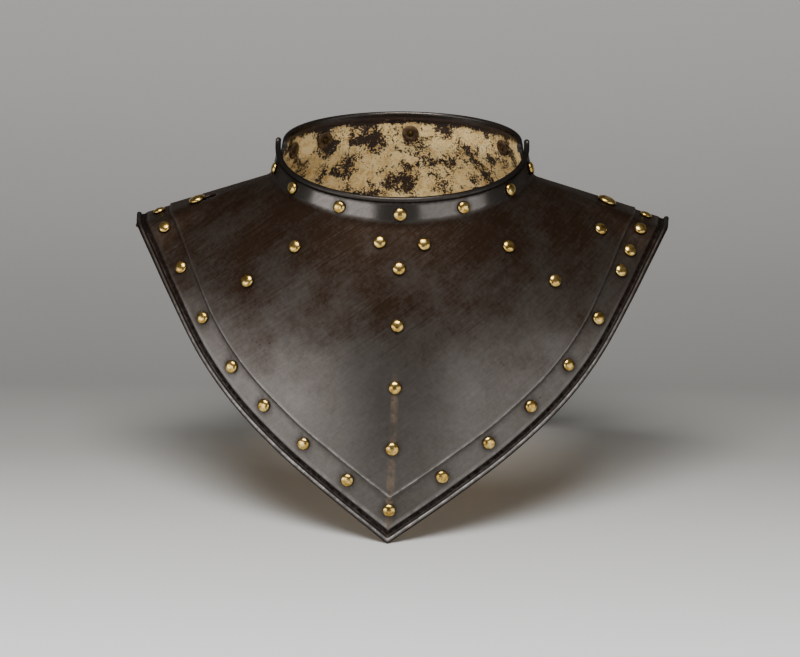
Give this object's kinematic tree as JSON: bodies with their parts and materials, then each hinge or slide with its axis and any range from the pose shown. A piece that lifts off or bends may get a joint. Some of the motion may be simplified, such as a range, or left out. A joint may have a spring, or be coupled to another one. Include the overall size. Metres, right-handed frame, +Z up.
{
  "type": "steel gorget",
  "caption": "Plate neck and chest defence of two hinged steel plates with a low rimmed collar, pointed front, sunk rolled border and domed brass rivets.",
  "frame": {"origin": "on the table, under the middle of the outline", "axes": "+Z up, the pointed front looks towards -Y, +X is the wearer's left"},
  "size_m": [0.3074, 0.215, 0.2024],
  "materials": {
    "steel_plates": "dark russet-brown patinated steel, worked bright and brushed, satin, with a flaking cream coating inside",
    "steel_washers": "dark dull steel",
    "brass_rivets": "polished brass, worn, dark in the recesses"
  },
  "bodies": {
    "front": {"front_plate": "steel_plates", "collar_rivet_1": "brass_rivets", "collar_rivet_2": "brass_rivets", "collar_rivet_3": "brass_rivets", "collar_rivet_4": "brass_rivets", "collar_rivet_5": "brass_rivets", "collar_rivet_6": "brass_rivets", "collar_rivet_7": "brass_rivets", "field_rivet_inner_right": "brass_rivets", "field_rivet_inner_left": "brass_rivets", "field_rivet_mid_right": "brass_rivets", "field_rivet_mid_left": "brass_rivets", "field_rivet_outer_right": "brass_rivets", "field_rivet_outer_left": "brass_rivets", "field_rivet_shoulder_left": "brass_rivets", "keel_rivet_1": "brass_rivets", "keel_rivet_2": "brass_rivets", "keel_rivet_3": "brass_rivets", "keel_rivet_4": "brass_rivets", "keel_rivet_5": "brass_rivets", "border_rivet_right_1": "brass_rivets", "border_rivet_right_2": "brass_rivets", "border_rivet_right_3": "brass_rivets", "border_rivet_right_4": "brass_rivets", "border_rivet_right_5": "brass_rivets", "border_rivet_right_6": "brass_rivets", "border_rivet_right_7": "brass_rivets", "border_rivet_right_8": "brass_rivets", "border_rivet_left_1": "brass_rivets", "border_rivet_left_2": "brass_rivets", "border_rivet_left_3": "brass_rivets", "border_rivet_left_4": "brass_rivets", "border_rivet_left_5": "brass_rivets", "border_rivet_left_6": "brass_rivets", "border_rivet_left_7": "brass_rivets", "border_rivet_left_8": "brass_rivets", "border_rivet_left_9": "brass_rivets", "pivot_rivet": "brass_rivets", "pivot_spacer": "brass_rivets"},
    "back": {"back_plate": "steel_plates", "back_collar_rivet_1": "brass_rivets", "back_collar_rivet_2": "brass_rivets", "back_collar_rivet_3": "brass_rivets", "back_collar_rivet_4": "brass_rivets", "back_border_rivet_1": "brass_rivets", "back_border_rivet_2": "brass_rivets", "back_border_rivet_3": "brass_rivets", "back_border_rivet_4": "brass_rivets", "back_border_rivet_5": "brass_rivets", "back_border_rivet_6": "brass_rivets", "back_border_rivet_7": "brass_rivets", "back_border_rivet_8": "brass_rivets", "back_border_rivet_9": "brass_rivets", "back_collar_washer_1": "steel_washers", "back_collar_washer_2": "steel_washers", "back_collar_washer_3": "steel_washers", "back_collar_washer_4": "steel_washers", "locking_stud": "brass_rivets"}
  },
  "joints": [
    {"name": "pivot", "type": "hinge", "parent": "front", "child": "back", "pos_m": [0.117, 0.017, 0.16417], "axis": [-0.342, 0, -0.9397], "range_deg": [0, 32]}
  ]
}
